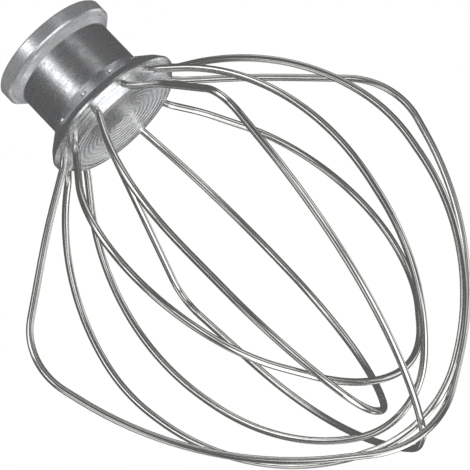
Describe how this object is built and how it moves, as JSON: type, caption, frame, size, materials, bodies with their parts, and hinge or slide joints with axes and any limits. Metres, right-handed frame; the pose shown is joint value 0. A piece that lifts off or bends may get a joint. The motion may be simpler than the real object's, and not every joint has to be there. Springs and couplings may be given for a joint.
{
  "type": "wire whip",
  "caption": "Balloon-shaped wire whip: bent round steel wires held by their ends in a turned aluminium hub with a blind bayonet socket for a stand mixer's drive shaft.",
  "frame": {"origin": "centre of the drive socket's mouth, on the hub's top face", "axes": "+Z along the drive axis, up out of the socket into the mixer; the wires hang along -Z; +Y is the direction of the keyway"},
  "size_m": [0.0985, 0.1003, 0.1295],
  "materials": {
    "hub_aluminium": "turned and burnished, with fine scratches and turning marks",
    "wire_steel": "drawn bright stainless wire"
  },
  "bodies": {
    "root": {"hub": "hub_aluminium", "wire_1": "wire_steel", "wire_2": "wire_steel", "wire_3": "wire_steel", "wire_4": "wire_steel", "wire_5": "wire_steel", "wire_6": "wire_steel"}
  },
  "joints": []
}
